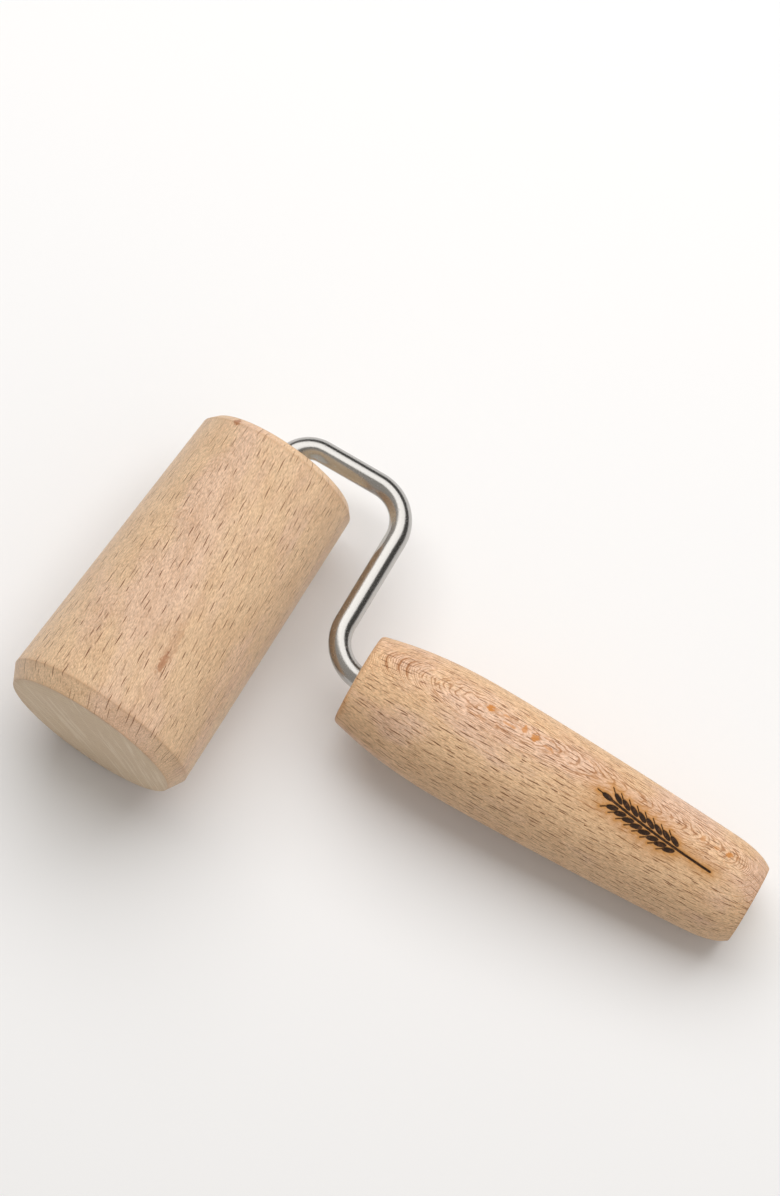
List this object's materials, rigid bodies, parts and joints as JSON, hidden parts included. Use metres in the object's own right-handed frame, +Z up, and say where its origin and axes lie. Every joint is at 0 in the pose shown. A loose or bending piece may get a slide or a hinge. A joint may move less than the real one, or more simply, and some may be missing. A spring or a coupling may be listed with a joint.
{
  "type": "pastry roller",
  "caption": "One-handed pastry roller: tapered beech barrel spinning on a cranked round steel wire, with a turned beech handle.",
  "frame": {"origin": "under the middle of the bounding box, on the worktop that the tool lies on", "axes": "+X along the handle towards its tail, +Y across, towards the barrel's small end, +Z up from the worktop"},
  "size_m": [0.1908, 0.1002, 0.052],
  "materials": {
    "barrel_beech": "plain sanded beech, unvarnished",
    "handle_beech": "plain sanded beech, warmer and ringed",
    "stainless_steel": "satin drawn wire",
    "spring_steel": "hardened, oiled",
    "nylon": "moulded natural nylon"
  },
  "bodies": {
    "wire_and_handle": {"wire_frame": "stainless_steel", "handle": "handle_beech", "thrust_washer": "stainless_steel", "push_nut": "spring_steel"},
    "roller": {"roller_barrel": "barrel_beech", "mouth_bush": "nylon", "end_bush": "nylon"}
  },
  "joints": [
    {"name": "roller_spin", "type": "hinge", "parent": "wire_and_handle", "child": "roller", "pos_m": [-0.06463, 0.03778, 0.02265], "axis": [0.0583, 0.9975, -0.0406], "continuous": true}
  ]
}
